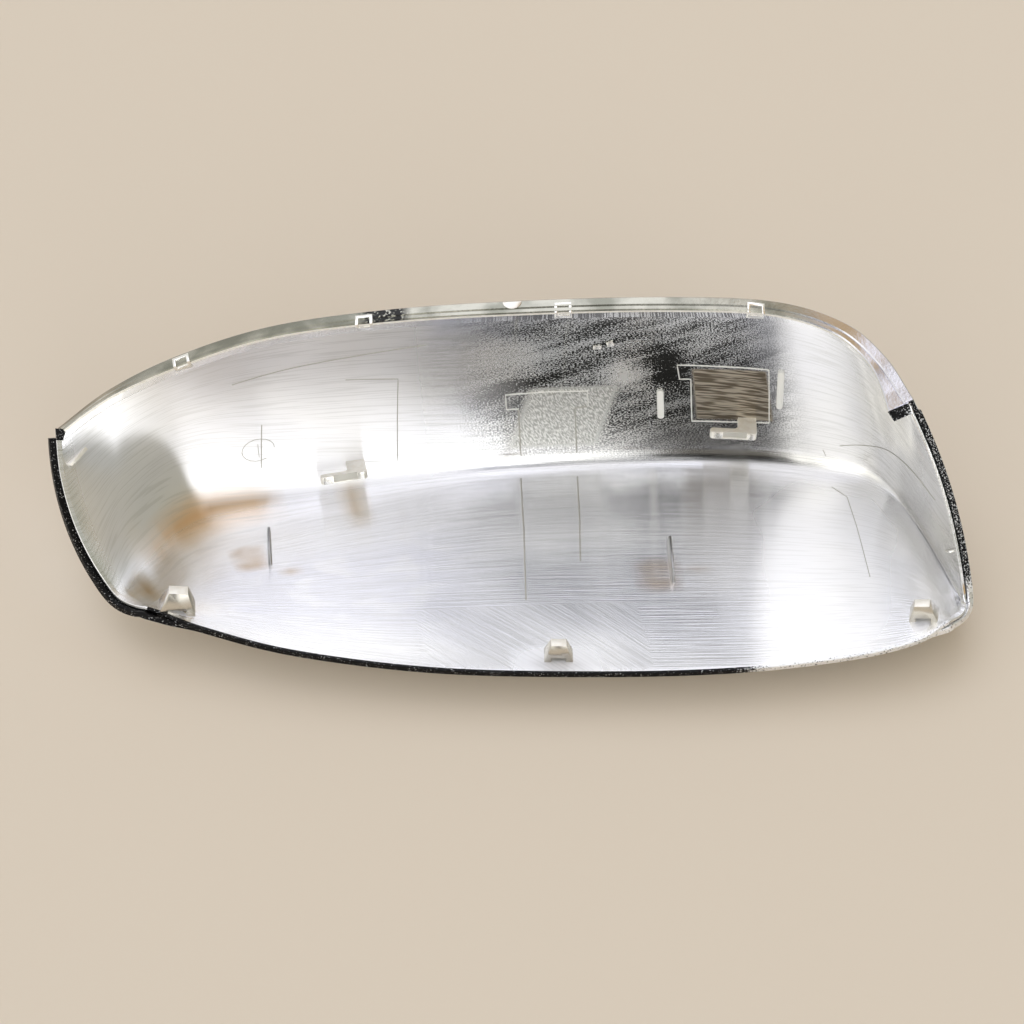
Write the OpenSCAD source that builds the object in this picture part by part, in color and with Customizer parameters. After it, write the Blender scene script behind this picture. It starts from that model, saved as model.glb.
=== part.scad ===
// Wing mirror cover: one plated moulding, lying on its outer face with its hollow side up.
// X runs along its length, Y from the front rim to the back wall, Z up. The origin is under
// the middle of its box, on the surface that it lies on.
// The skin is a run of sections. Each goes from the front rim over the floor, round the
// corner and up the back wall to the upper rim.

/* [Cover] */
// Length of the cover, end to end
cover_length = 229; // [180:1:300]
// Depth from the front rim to the back of the wall
cover_depth = 80; // [66:1:110]
// Height of the back wall over the lowest point of the floor
cover_height = 57; // [46:1:76]
// Thickness of the moulding
wall = 2.6; // [2:0.1:3.4]
// How far the floor bows down between the front rim and the corner
floor_crown = 3.2; // [1.6:0.1:4.5]
// How far the back wall bows out between the corner and the upper rim
wall_bow = 3; // [1.5:0.1:4.5]
// Length of each leg of the corner between floor and back wall
corner_leg = 7; // [5:0.5:9]
// Depth of the small flat on the belly, on which the cover comes to rest
belly_flat = 0.15; // [0.05:0.05:0.4]

/* [Rim] */
// How far the inner tongue stands proud of the cut face
tongue_rise = 1.3; // [0.6:0.1:2]
// Thickness of the inner tongue
tongue_wall = 0.8; // [0.6:0.1:1.4]
// Height of the rail inside the upper rim
rail_height = 3; // [2:0.1:4]
// How far the rail stands in from the wall
rail_width = 1.6; // [0.8:0.1:2.4]
// How far the rail's right end stands in, where it is a locating ramp
ramp_width = 4.4; // [3:0.1:6]
// Depth of the parting groove along the top of the upper rim
groove_depth = 0.2; // [0.1:0.05:0.4]

/* [Front snap tabs] */
// Width of a front tab at its foot
tab_foot = 6.4; // [5:0.1:8]
// Width of a front tab at its crest
tab_crest = 4; // [3:0.1:5.5]
// Height of a front tab over the floor
tab_height = 4.8; // [3:0.1:6.5]
// Length of a front tab's foot, away from the rim
tab_length = 4.8; // [3.8:0.1:6.5]
// Length of a front tab's crest
tab_land = 2.8; // [1.6:0.1:3.6]
// Width of the slot in a front tab's foot
slot_width = 3.6; // [2.4:0.1:4.6]
// Height of the slot in a front tab's foot
slot_height = 1.1; // [0.6:0.1:2]
// Depth of the slot in a front tab's foot
slot_depth = 1.6; // [0.8:0.1:2.4]

/* [Upper clips] */
// Width of an upper clip
clip_width = 4.4; // [3:0.1:6]
// Height of an upper clip
clip_height = 2.2; // [1.2:0.1:3]
// How far an upper clip stands in from the rail
clip_proud = 0.9; // [0.5:0.1:1.5]

/* [Hooks] */
// Width of a hook's stem, along the wall
hook_stem = 4.8; // [3.5:0.1:6.5]
// How far a hook stands in from the wall
hook_reach = 6.6; // [5:0.1:8.5]
// How far a hook's arm runs past its stem
hook_arm = 7.4; // [5:0.1:10]
// Depth of a hook's arm
arm_depth = 2.2; // [1.4:0.1:3]
// Thickness of a hook
hook_thick = 2.1; // [1.4:0.1:3]

/* [Ribs] */
// Length of a blade rib on the floor
blade_length = 12; // [8:0.5:18]
// Height of a blade rib on the floor
blade_height = 4; // [2:0.1:6]
// Thickness of a blade rib on the floor
blade_thick = 1; // [0.8:0.1:1.6]
// Width of an upright bar on the wall
bar_width = 1.8; // [1.2:0.1:2.6]
// Length of the shorter upright bar
short_bar = 9.6; // [6:0.1:12]
// Length of the longer upright bar
long_bar = 12.6; // [8:0.1:15]
// How far a bar stands in from the wall
bar_proud = 0.9; // [0.5:0.1:1.5]
// Length of the fin on the left end
fin_length = 7; // [5:0.1:9]
// Height of the fin on the left end
fin_height = 2; // [1.2:0.1:3]
// Thickness of the fin on the left end
fin_thick = 1; // [0.7:0.1:1.4]

/* [Hidden] */

// Sections along the cover, and steps over the floor, round the corner and up the wall
columns = 84;
floor_steps = 8;
corner_steps = 8;
wall_steps = 7;
rows = floor_steps + corner_steps + wall_steps;
// Share of the length between the end sections and their neighbours, where the rim changes
end_share = 0.004;
// Share of a leg between the points that set the slope under a seat
near_share = 0.01;
// Depth to which what stands on the skin is rooted in it
root = wall / 2;
// Thickness of the faces between which a tapered shape is drawn
leaf = 0.05 * wall;
$fn = 24;

// Front rim from the left corner to the right one: shares of length, depth and height
front_rim_shares = [
    [-0.392, 0.190, 0.200], [-0.330, 0.138, 0.165], [-0.230, 0.065, 0.142], [-0.080, 0.012, 0.125],
    [0.095, 0.000, 0.122], [0.240, 0.012, 0.128], [0.360, 0.050, 0.145], [0.430, 0.096, 0.165],
    [0.466, 0.148, 0.190]];
// Corner between floor and wall, before it is rounded, in the same order
corner_shares = [
    [-0.427, 0.245, 0.170], [-0.416, 0.420, 0.120], [-0.372, 0.640, 0.065], [-0.270, 0.740, 0.036],
    [-0.120, 0.840, 0.018], [0.030, 0.900, 0.014], [0.200, 0.925, 0.018], [0.340, 0.895, 0.028],
    [0.430, 0.815, 0.045], [0.470, 0.620, 0.075], [0.500, 0.240, 0.162]];
// Upper rim from the left tip to the top of the right end
upper_rim_shares = [
    [-0.494, 0.690, 0.625], [-0.440, 0.800, 0.705], [-0.365, 0.885, 0.795], [-0.262, 0.950, 0.885],
    [-0.130, 0.982, 0.945], [0.020, 0.992, 0.985], [0.170, 0.996, 1.000], [0.285, 0.990, 0.980],
    [0.360, 0.935, 0.930], [0.403, 0.835, 0.865], [0.432, 0.715, 0.775]];
// How much of the crown, the bow and the corner's leg each part of the length has
crown_shares = [0, 0.15, 0.5, 0.85, 1, 1, 0.9, 0.6, 0.2, 0];
bow_shares = [1.5, 1.2, 1, 1, 1, 1, 1, 1, 1.05, 1.1];
leg_shares = [1.2, 2.1, 2.2, 1.6, 1.1, 1, 1, 1, 1, 0.9];
// How far the rounded corner's handles reach, as a share of its chord
handle_share = 0.42;
// Share of the length over which the rail widens into the ramp
ramp_share = 0.14;
// Places of what stands on the skin: share of the length, then share of the floor or of the wall.
// Tabs and blades have a third share, of the named size.
tab_shares = [[0.095, 0.23, 1.25], [0.470, 0.07, 1], [0.906, 0.16, 1]];
clip_shares = [0.205, 0.378, 0.523, 0.678];
clip_wall_share = 0.97;
hook_shares = [[0.358, 0.20], [0.656, 0.27]];
blade_shares = [[0.271, 0.68, 1], [0.580, 0.50, 1.25]];
short_bar_shares = [0.588, 0.36];
long_bar_shares = [0.692, 0.47];
fin_shares = [0.03, 0.80];

// Point at share t of a smooth curve through a list of points
function along(pts, t) =
    let (n = len(pts) - 1, s = min(max(t, 0), 1) * n, i = min(floor(s), n - 1), f = s - i,
         b = pts[i], c = pts[i + 1],
         a = i > 0 ? pts[i - 1] : 2 * b - c,
         d = i + 2 <= n ? pts[i + 2] : 2 * c - b)
    (2 * b + (c - a) * f + (2 * a - 5 * b + 4 * c - d) * f * f
        + (3 * b - a - 3 * c + d) * f * f * f) / 2;

function placed(share) =
    [share.x * cover_length, share.y * cover_depth, share.z * cover_height];
function unit(v) = v / norm(v);
function mix(a, b, t) = a + (b - a) * t;
function bend(a, b, c, t) = (1 - t) * (1 - t) * a + 2 * t * (1 - t) * b + t * t * c;
function bend_slope(a, b, c, t) = (1 - t) * (b - a) + t * (c - b);

// Ends and middles of the two legs of the section at share t of the length
function legs(t) =
    let (front = placed(along(front_rim_shares, t)),
         corner = placed(along(corner_shares, t)),
         top = placed(along(upper_rim_shares, t)),
         chord = unit(top - corner),
         level = [corner.x - front.x, corner.y - front.y, 0],
         out = unit(level - chord * (level * chord)),
         sag = along(crown_shares, t) * floor_crown,
         bow = along(bow_shares, t) * wall_bow)
    [front, (front + corner) / 2 - [0, 0, 2 * sag], corner, (corner + top) / 2 + 2 * bow * out, top];

// Points of the outer skin over the floor and up the wall, at share w of each leg
function floor_skin(t, w) = let (g = legs(t)) bend(g[0], g[1], g[2], w);
function wall_skin(t, w) = let (g = legs(t)) bend(g[2], g[3], g[4], w);

// One section of the skin, whose wall ends the distance down below the upper rim
function section(t, down) =
    let (g = legs(t), leg = along(leg_shares, t) * corner_leg,
         a = 1 - min(leg / norm(g[2] - g[0]), 0.8),
         b = min(leg / norm(g[4] - g[2]), 0.45),
         top = 1 - down / norm(g[4] - g[3]) / 2,
         p = bend(g[0], g[1], g[2], a), q = bend(g[2], g[3], g[4], b),
         handle = handle_share * norm(q - p),
         p2 = p + handle * unit(bend_slope(g[0], g[1], g[2], a)),
         q2 = q - handle * unit(bend_slope(g[2], g[3], g[4], b)))
    concat(
        [for (k = [0 : floor_steps]) bend(g[0], g[1], g[2], a * k / floor_steps)],
        [for (k = [1 : corner_steps]) let (s = k / corner_steps, r = 1 - s)
            r * r * r * p + 3 * s * r * r * p2 + 3 * s * s * r * q2 + s * s * s * q],
        [for (k = [1 : wall_steps]) bend(g[2], g[3], g[4], mix(b, top, k / wall_steps))]);

// Share of the length of each section, with a narrow strip at both ends
function share_of(i) =
    i == 0 ? 0 : i == columns ? 1 : mix(end_share, 1 - end_share, (i - 1) / (columns - 2));

outer = [for (i = [0 : columns]) section(share_of(i), 0)];
lower = [for (i = [0 : columns]) section(share_of(i), rail_height)];

// Direction into the hollow at a grid point, taken inside the edges, where the grid is even
function inward(grid, i, j) =
    let (a = min(max(i, 3), columns - 3), b = min(max(j, 2), rows - 2))
    unit(cross(grid[a + 1][b] - grid[a - 1][b], grid[a][b + 1] - grid[a][b - 1]));
inner = [for (i = [0 : columns]) [for (j = [0 : rows]) lower[i][j] + wall * inward(lower, i, j)]];

// Grid places round the whole rim: front, right end, upper rim and left end
rim = concat(
    [for (i = [0 : columns]) [i, 0]],
    [for (j = [1 : rows]) [columns, j]],
    [for (i = [columns - 1 : -1 : 0]) [i, rows]],
    [for (j = [rows - 1 : -1 : 1]) [0, j]]);
rim_count = len(rim);

function skin_point(grid, place) = grid[place.x][place.y];
function rail_at(t) =
    let (s = max(0, (t - 1 + ramp_share) / ramp_share)) mix(rail_width, ramp_width, s * s);

// Three points of the rim's profile between the outer edge and the inner edge
function profile(k) =
    let (place = rim[k], p = skin_point(outer, place), q = skin_point(inner, place),
         n = inward(outer, place.x, place.y),
         before = skin_point(outer, rim[(k + rim_count - 1) % rim_count]),
         after = skin_point(outer, rim[(k + 1) % rim_count]),
         away = unit(cross(after - before, n)),
         upper = place.y == rows && place.x > 0 && place.x < columns,
         rail = rail_at(share_of(place.x)))
    upper
        ? [p + wall * n - groove_depth * away, p + (wall + rail) * n, q + rail * n]
        : [p + (wall - tongue_wall) * n, p + (wall - tongue_wall) * n + tongue_rise * away,
           q + tongue_rise * away];
profiles = [for (k = [0 : rim_count - 1]) profile(k)];

// The moulding as one closed mesh: outer grid, inner grid, then the three rim lines
grid_count = (columns + 1) * (rows + 1);
shell_points = concat(
    [for (col = outer) for (p = col) p], [for (col = inner) for (p = col) p],
    [for (line = [0 : 2]) for (k = [0 : rim_count - 1]) profiles[k][line]]);
function grid_index(side, i, j) = side * grid_count + i * (rows + 1) + j;
function rim_index(line, k) =
    line == 0 ? grid_index(0, rim[k].x, rim[k].y)
    : line == 4 ? grid_index(1, rim[k].x, rim[k].y)
    : 2 * grid_count + (line - 1) * rim_count + k;
shell_faces = concat(
    [for (i = [0 : columns - 1]) for (j = [0 : rows - 1]) for (f = [0, 1])
        let (a = grid_index(0, i, j), b = grid_index(0, i + 1, j), c = grid_index(0, i + 1, j + 1),
             d = grid_index(0, i, j + 1))
        f == 0 ? [a, b, c] : [a, c, d]],
    [for (i = [0 : columns - 1]) for (j = [0 : rows - 1]) for (f = [0, 1])
        let (a = grid_index(1, i, j), b = grid_index(1, i + 1, j), c = grid_index(1, i + 1, j + 1),
             d = grid_index(1, i, j + 1))
        f == 0 ? [a, c, b] : [a, d, c]],
    [for (line = [0 : 3]) for (k = [0 : rim_count - 1]) for (f = [0, 1])
        let (m = (k + 1) % rim_count,
             a = rim_index(line, k), b = rim_index(line, m), c = rim_index(line + 1, m),
             d = rim_index(line + 1, k))
        f == 0 ? [a, c, b] : [a, d, c]]);

// Corners of the shell's box, for the origin, which lies in the belly's flat
xs = [for (p = shell_points) p.x];
ys = [for (p = shell_points) p.y];
zs = [for (p = shell_points) p.z];
origin = [(min(xs) + max(xs)) / 2, (min(ys) + max(ys)) / 2, min(zs) + belly_flat];

// Puts a shape on the inner face: its x runs along the cover, its z stands into the hollow
module seated(t, w, on_wall) {
    at = on_wall ? wall_skin(t, w) : floor_skin(t, w);
    ahead = on_wall ? wall_skin(t + near_share, w) : floor_skin(t + near_share, w);
    over = on_wall ? wall_skin(t, w + near_share) : floor_skin(t, w + near_share);
    u = unit(ahead - at);
    n = unit(cross(u, over - at));
    v = cross(n, u);
    p = at + wall * n;
    multmatrix([[u.x, v.x, n.x, p.x], [u.y, v.y, n.y, p.y], [u.z, v.z, n.z, p.z], [0, 0, 0, 1]])
        children();
}

module block(size, foot) translate([-size.x / 2, -size.y / 2, foot]) cube(size);

module shell() polyhedron(shell_points, shell_faces, convexity = 8);

// Wedge-shaped tab whose crest is nearer to the rim, with a slot in its foot
module snap_tab() difference() {
    hull() {
        block([tab_foot, tab_length, root], -root);
        translate([0, (tab_land - tab_length) / 4, 0])
            block([tab_crest, tab_land, leaf], tab_height - leaf);
    }
    translate([0, (slot_depth - tab_length) / 2 - leaf, 0])
        block([slot_width, slot_depth, slot_height], 0);
}

// Small pad across the rail of the upper rim
module upper_clip() hull() {
    block([clip_width, clip_height, root], -root);
    block([clip_width - 2 * leaf, clip_height - 2 * leaf, leaf], rail_width + clip_proud - leaf);
}

// Flat hook: a stem out of the wall and an arm along it, to the left
module hook() {
    far = hook_reach - arm_depth;
    rounding = arm_depth / 2;
    translate([0, hook_thick / 2, 0]) rotate([90, 0, 0]) linear_extrude(hook_thick) {
        translate([-hook_stem / 2, -root]) square([hook_stem, far + root + rounding]);
        hull() {
            translate([-hook_stem / 2 - hook_arm + rounding, far + rounding]) circle(rounding);
            translate([hook_stem / 2 - rounding, far + rounding]) circle(rounding);
        }
    }
}

// Thin rib that stands on the floor, lower at both ends
module blade(length) hull() {
    block([blade_thick, length, root], -root);
    block([blade_thick, length - blade_height, leaf], blade_height - leaf);
}

// Upright bar with rounded ends on the wall
module bar(length) translate([0, 0, -root]) hull() for (end = [-1, 1])
    translate([0, end * (length - bar_width) / 2, 0]) cylinder(d = bar_width, h = root + bar_proud);

// Fin that rises from nothing to its full height towards the left tip
module fin() hull() {
    block([fin_length, fin_thick, root], -root);
    translate([-fin_length / 3, 0, 0]) block([fin_length / 3, fin_thick, leaf], fin_height - leaf);
}

module moulding() {
    shell();
    for (place = tab_shares) seated(place.x, place.y, false) scale(place.z) snap_tab();
    for (t = clip_shares) seated(t, clip_wall_share, true) upper_clip();
    for (place = hook_shares) seated(place.x, place.y, true) hook();
    for (place = blade_shares) seated(place.x, place.y, false) blade(place.z * blade_length);
    seated(short_bar_shares.x, short_bar_shares.y, true) bar(short_bar);
    seated(long_bar_shares.x, long_bar_shares.y, true) bar(long_bar);
    seated(fin_shares.x, fin_shares.y, true) fin();
}

module cover_shell() color("silver") difference() {
    translate(-origin) moulding();
    block([cover_length, cover_depth, wall], -wall);
}

cover_shell();
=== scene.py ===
import math

import bmesh
import bpy
import numpy as np
from mathutils import Matrix


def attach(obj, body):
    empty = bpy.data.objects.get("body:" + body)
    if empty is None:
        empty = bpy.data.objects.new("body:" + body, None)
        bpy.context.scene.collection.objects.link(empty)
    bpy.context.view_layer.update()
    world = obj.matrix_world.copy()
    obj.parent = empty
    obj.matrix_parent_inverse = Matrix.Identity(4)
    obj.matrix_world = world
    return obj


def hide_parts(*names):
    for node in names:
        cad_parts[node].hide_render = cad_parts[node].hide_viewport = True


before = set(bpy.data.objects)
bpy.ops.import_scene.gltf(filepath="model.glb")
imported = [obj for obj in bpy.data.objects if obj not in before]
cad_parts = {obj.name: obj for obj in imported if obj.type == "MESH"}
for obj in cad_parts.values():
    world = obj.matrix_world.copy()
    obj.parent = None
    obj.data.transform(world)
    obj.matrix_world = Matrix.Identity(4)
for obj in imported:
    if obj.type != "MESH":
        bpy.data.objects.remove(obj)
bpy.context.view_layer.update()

MM = 0.001

# Named sizes in millimetres, as in the part's source
LENGTH, DEPTH, HEIGHT, WALL = 229, 80, 57, 2.6
CROWN, BOW, CORNER_LEG = 3.2, 3, 7
TONGUE_RISE, TONGUE_WALL = 1.3, 0.8
RAIL_HEIGHT, RAIL_WIDTH, RAMP_WIDTH = 3, 1.6, 4.4
ORIGIN = np.array([0.285, 39.772, 0.083])

# Sizes that only the scene has: softened edges, the rail's groove and the lap's outer layer
SOFT, GROOVE_HALF, GROOVE_DEEP, RAIL_ROUND = 0.15, 0.3, 0.2, 0.3
LAP_WALL, LAP_LEFT, LAP_RIGHT = 1.6, 2.6, 1.7
MM_PER_DM = 100

# Sections along the cover, and rows over the floor, round the corner and up the wall
COLUMNS = 288
FLOOR_ROWS, CORNER_ROWS, WALL_ROWS = 36, 26, 34
ROWS = FLOOR_ROWS + CORNER_ROWS + WALL_ROWS
END_SHARE = 0.0006
SHARES = np.concatenate([[0], np.linspace(END_SHARE, 1 - END_SHARE, COLUMNS - 1), [1]])

# The skin's lines, as shares of length, depth and height
FRONT_RIM = np.array([
    [-0.392, 0.190, 0.200], [-0.330, 0.138, 0.165], [-0.230, 0.065, 0.142], [-0.080, 0.012, 0.125],
    [0.095, 0.000, 0.122], [0.240, 0.012, 0.128], [0.360, 0.050, 0.145], [0.430, 0.096, 0.165],
    [0.466, 0.148, 0.190]])
CORNER = np.array([
    [-0.427, 0.245, 0.170], [-0.416, 0.420, 0.120], [-0.372, 0.640, 0.065], [-0.270, 0.740, 0.036],
    [-0.120, 0.840, 0.018], [0.030, 0.900, 0.014], [0.200, 0.925, 0.018], [0.340, 0.895, 0.028],
    [0.430, 0.815, 0.045], [0.470, 0.620, 0.075], [0.500, 0.240, 0.162]])
UPPER_RIM = np.array([
    [-0.494, 0.690, 0.625], [-0.440, 0.800, 0.705], [-0.365, 0.885, 0.795], [-0.262, 0.950, 0.885],
    [-0.130, 0.982, 0.945], [0.020, 0.992, 0.985], [0.170, 0.996, 1.000], [0.285, 0.990, 0.980],
    [0.360, 0.935, 0.930], [0.403, 0.835, 0.865], [0.432, 0.715, 0.775]])
CROWN_SHARES = np.array([0, 0.15, 0.5, 0.85, 1, 1, 0.9, 0.6, 0.2, 0])[:, None]
BOW_SHARES = np.array([1.5, 1.2, 1, 1, 1, 1, 1, 1, 1.05, 1.1])[:, None]
LEG_SHARES = np.array([1.2, 2.1, 2.2, 1.6, 1.1, 1, 1, 1, 1, 0.9])[:, None]
HANDLE_SHARE = 0.42
RAMP_SHARE = 0.14

# Directions into the hollow are even over this many columns and rows at the grid's edges
EVEN_COLUMNS, EVEN_ROWS = 10, 7


# Curves and surfaces of the skin

def along(points, t):
    """Points at the shares t of a smooth curve through a list of points."""
    n = len(points) - 1
    s = np.clip(t, 0, 1) * n
    i = np.minimum(s.astype(int), n - 1)
    f = (s - i)[:, None]
    b, c = points[i], points[i + 1]
    a = np.where((i > 0)[:, None], points[np.maximum(i - 1, 0)], 2 * b - c)
    d = np.where((i + 2 <= n)[:, None], points[np.minimum(i + 2, n)], 2 * c - b)
    return (2 * b + (c - a) * f + (2 * a - 5 * b + 4 * c - d) * f ** 2
            + (3 * b - a - 3 * c + d) * f ** 3) / 2


def unit(v):
    return v / np.linalg.norm(v, axis=-1, keepdims=True)


def bend(a, b, c, w):
    return (1 - w) ** 2 * a + 2 * w * (1 - w) * b + w * w * c


def bend_slope(a, b, c, w):
    return (1 - w) * (b - a) + w * (c - b)


def legs(t):
    """Ends and middles of the two legs of the sections at the shares t."""
    size = np.array([LENGTH, DEPTH, HEIGHT])
    front, corner, top = (along(line, t) * size for line in (FRONT_RIM, CORNER, UPPER_RIM))
    chord = unit(top - corner)
    level = (corner - front) * [1, 1, 0]
    out = unit(level - chord * (level * chord).sum(-1, keepdims=True))
    sag = along(CROWN_SHARES, t) * CROWN
    bow = along(BOW_SHARES, t) * BOW
    return (front, (front + corner) / 2 - sag * [0, 0, 2], corner,
            (corner + top) / 2 + 2 * bow * out, top)


def sections(t, down):
    """Points of the sections at the shares t, whose walls end the distance down below the rim."""
    g = legs(t)
    leg = along(LEG_SHARES, t) * CORNER_LEG
    a = 1 - np.minimum(leg / np.linalg.norm(g[2] - g[0], axis=1, keepdims=True), 0.8)
    b = np.minimum(leg / np.linalg.norm(g[4] - g[2], axis=1, keepdims=True), 0.45)
    top = 1 - down / np.linalg.norm(g[4] - g[3], axis=1, keepdims=True) / 2
    p, q = bend(*g[:3], a), bend(*g[2:], b)
    handle = HANDLE_SHARE * np.linalg.norm(q - p, axis=1, keepdims=True)
    p2 = p + handle * unit(bend_slope(*g[:3], a))
    q2 = q - handle * unit(bend_slope(*g[2:], b))
    rows = [bend(*g[:3], a * k / FLOOR_ROWS) for k in range(FLOOR_ROWS + 1)]
    for k in range(1, CORNER_ROWS + 1):
        s = k / CORNER_ROWS
        rows.append((1 - s) ** 3 * p + 3 * s * (1 - s) ** 2 * p2 + 3 * s * s * (1 - s) * q2
                    + s ** 3 * q)
    rows += [bend(*g[2:], b + (top - b) * k / WALL_ROWS) for k in range(1, WALL_ROWS + 1)]
    return np.stack(rows, 1)


def inward(grid):
    """Directions into the hollow at a grid's points, even towards its edges."""
    i = np.clip(np.arange(grid.shape[0]), EVEN_COLUMNS, grid.shape[0] - 1 - EVEN_COLUMNS)
    j = np.clip(np.arange(grid.shape[1]), EVEN_ROWS, grid.shape[1] - 1 - EVEN_ROWS)
    i, j = i[:, None], j[None, :]
    return unit(np.cross(grid[i + 3, j] - grid[i - 3, j], grid[i, j + 2] - grid[i, j - 2]))


def seat(t, w, on_wall):
    """Frame on the inner face: x along the cover, y up the wall or away from the front rim."""
    def skin(t, w):
        g = legs(np.array([t], float))
        return (bend(*g[2:], w) if on_wall else bend(*g[:3], w))[0]
    at, step = skin(t, w), 0.01
    u = unit(skin(t + step, w) - at)
    n = unit(np.cross(u, skin(t, w + step) - at))
    v = np.cross(n, u)
    p = (at + WALL * n - ORIGIN) * MM
    m = Matrix.Identity(4)
    for row in range(3):
        m[row][:] = (u[row], v[row], n[row], p[row])
    return m


# Shader nodes

def new_material(name):
    material = bpy.data.materials.new(name)
    material.use_nodes = True
    tree = material.node_tree
    shader = next(node for node in tree.nodes if node.type == "BSDF_PRINCIPLED")
    return material, tree, shader


def feed(tree, node, inputs):
    """Gives a node's inputs numbers, colours of three shares or other nodes' sockets."""
    for key, value in inputs.items():
        if isinstance(value, bpy.types.NodeSocket):
            tree.links.new(value, node.inputs[key])
        else:
            node.inputs[key].default_value = (*value, 1) if isinstance(value, tuple) else value


def put(tree, kind, inputs=None, **settings):
    """Adds a node with its settings and inputs."""
    node = tree.nodes.new(kind)
    for key, value in settings.items():
        setattr(node, key, value)
    feed(tree, node, inputs or {})
    return node


def math_node(tree, operation, a, b=0.0):
    return put(tree, "ShaderNodeMath", {0: a, 1: b}, operation=operation).outputs[0]


def multiply(tree, a, b):
    return math_node(tree, "MULTIPLY", a, b)


def multiply_add(tree, a, b, c, clamp=False):
    """a times b, plus c."""
    return put(tree, "ShaderNodeMath", {0: a, 1: b, 2: c}, operation="MULTIPLY_ADD",
               use_clamp=clamp).outputs[0]


def ramp(tree, value, low, high, out_low=0.0, out_high=1.0):
    """Smooth step of a value between two limits."""
    return put(tree, "ShaderNodeMapRange", {
        "Value": value, "From Min": low, "From Max": high, "To Min": out_low, "To Max": out_high},
        interpolation_type="SMOOTHSTEP").outputs["Result"]


def noise(tree, place, scale, detail, dimensions="3D"):
    return put(tree, "ShaderNodeTexNoise", {"Vector": place, "Scale": scale, "Detail": detail},
               noise_dimensions=dimensions).outputs["Fac"]


# Where a mix node keeps its pair of inputs and its result, by the kind of data
MIX_SOCKETS = {"FLOAT": (2, 3, 0), "RGBA": (6, 7, 2)}


def mix(tree, kind, factor, a, b):
    """Mixes two values or colours: a where the factor is 0, b where it is 1."""
    first, second, result = MIX_SOCKETS[kind]
    node = put(tree, "ShaderNodeMix", {0: factor, first: a, second: b}, data_type=kind)
    return node.outputs[result]


def mix_color(tree, factor, a, b):
    return mix(tree, "RGBA", factor, a, b)


def mix_value(tree, factor, a, b):
    return mix(tree, "FLOAT", factor, a, b)


def add_bump(tree, shader, height, strength, distance):
    """Bumps a shader's normal by a height."""
    bump = put(tree, "ShaderNodeBump",
               {"Strength": strength, "Distance": distance, "Height": height})
    feed(tree, shader, {"Normal": bump.outputs[0]})


def new_group(name, inputs, outputs):
    """A node group with named float and vector inputs and float outputs."""
    kinds = {"float": "NodeSocketFloat", "vector": "NodeSocketVector"}
    group = bpy.data.node_groups.new(name, "ShaderNodeTree")
    for label, kind in inputs:
        group.interface.new_socket(label, in_out="INPUT", socket_type=kinds[kind])
    for label in outputs:
        group.interface.new_socket(label, in_out="OUTPUT", socket_type=kinds["float"])
    return group, group.nodes.new("NodeGroupInput"), group.nodes.new("NodeGroupOutput")


# Soft-edged patch: a mask that is 1 near a centre and falls off past its half width and height

soft_patch, take, give = new_group(
    "soft_patch",
    [("Across", "float"), ("Up", "float"), ("Centre Across", "float"), ("Centre Up", "float"),
     ("Edge Across", "float"), ("Edge Up", "float"), ("Fall", "float")],
    ["Mask"])
edges = []
for axis in ("Across", "Up"):
    off = math_node(soft_patch, "SUBTRACT", take.outputs[axis], take.outputs["Centre " + axis])
    edges.append(multiply_add(soft_patch, math_node(soft_patch, "ABSOLUTE", off),
                              take.outputs["Fall"], take.outputs["Edge " + axis], clamp=True))
feed(soft_patch, give, {"Mask": multiply(soft_patch, *edges)})


def patch(tree, across, up, centre, half, softness):
    """Mask of a patch; its edges take twice the softness to fall from 1 to 0."""
    fall = 0.5 / softness
    return put(tree, "ShaderNodeGroup", {
        "Across": across, "Up": up, "Centre Across": centre[0], "Centre Up": centre[1],
        "Edge Across": half[0] * fall + 0.5, "Edge Up": half[1] * fall + 0.5, "Fall": -fall},
        node_tree=soft_patch).outputs["Mask"]


# Brushed lines: fine streaks that run at an angle over the surface, as heights

brushed_lines, take, give = new_group(
    "brushed_lines",
    [("Place", "vector"), ("Angle", "float"), ("Fineness", "float"), ("Stretch", "float")],
    ["Height"])
turned = put(brushed_lines, "ShaderNodeVectorRotate",
             {"Vector": take.outputs["Place"], "Angle": take.outputs["Angle"]},
             rotation_type="Z_AXIS").outputs[0]
split = put(brushed_lines, "ShaderNodeSeparateXYZ", {0: turned})
fine = multiply(brushed_lines, split.outputs["Y"], take.outputs["Fineness"])
long = multiply(brushed_lines, split.outputs["X"], math_node(
    brushed_lines, "DIVIDE", take.outputs["Fineness"], take.outputs["Stretch"]))
streak_place = put(brushed_lines, "ShaderNodeCombineXYZ", {"X": long, "Y": fine}).outputs[0]
streak = put(brushed_lines, "ShaderNodeTexNoise", {
    "Vector": streak_place, "Scale": 1.0, "Detail": 1.0, "Roughness": 0.6},
    noise_dimensions="2D").outputs["Fac"]
feed(brushed_lines, give, {"Height": streak})


def brush(tree, place, angle, fineness, stretch):
    return put(tree, "ShaderNodeGroup", {
        "Place": place, "Angle": angle, "Fineness": fineness, "Stretch": stretch},
        node_tree=brushed_lines).outputs["Height"]


# Materials. The skin's own map runs in decimetres: along the cover, and over the floor and up
# the wall, whose corner begins near 0.66 and whose upper rim lies near 1.3.

def skin_place(tree):
    """The place on the skin's own map, and its shares along the cover and over the section."""
    place = put(tree, "ShaderNodeUVMap", uv_map="skin").outputs["UV"]
    split = put(tree, "ShaderNodeSeparateXYZ", {0: place})
    return place, split.outputs["X"], split.outputs["Y"]


def object_place(tree):
    return put(tree, "ShaderNodeTexCoord").outputs["Object"]


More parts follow.
